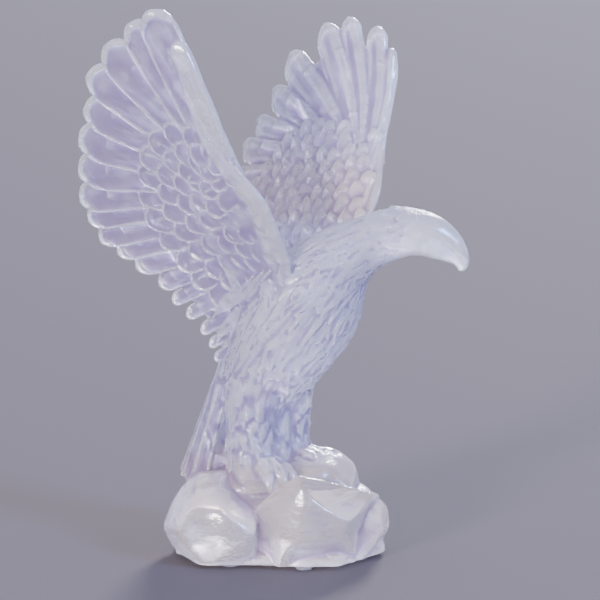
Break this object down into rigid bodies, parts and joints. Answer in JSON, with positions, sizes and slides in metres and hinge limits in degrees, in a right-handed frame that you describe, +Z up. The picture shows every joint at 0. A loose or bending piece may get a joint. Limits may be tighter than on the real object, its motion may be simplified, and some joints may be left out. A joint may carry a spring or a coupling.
{
  "type": "crystal eagle figurine",
  "caption": "Satin crystal eagle with raised wings and hooked beak, perched on a faceted rock base with clear bumper feet.",
  "frame": {"origin": "on the table under the middle of the figurine's box, level with the flat bottoms of the bumper feet", "axes": "+Z up, +X the way the breast faces, +Y to the bird's left"},
  "size_m": [0.2021, 0.1606, 0.3138],
  "materials": {
    "satin_crystal": "satin-etched lead crystal, polished a little on the high edges",
    "clear_bumper": "clear moulded polyurethane, glossy"
  },
  "bodies": {
    "root": {"eagle_figurine": "satin_crystal", "bumper_right": "clear_bumper", "bumper_front": "clear_bumper", "bumper_back": "clear_bumper", "bumper_left": "clear_bumper"}
  },
  "joints": []
}
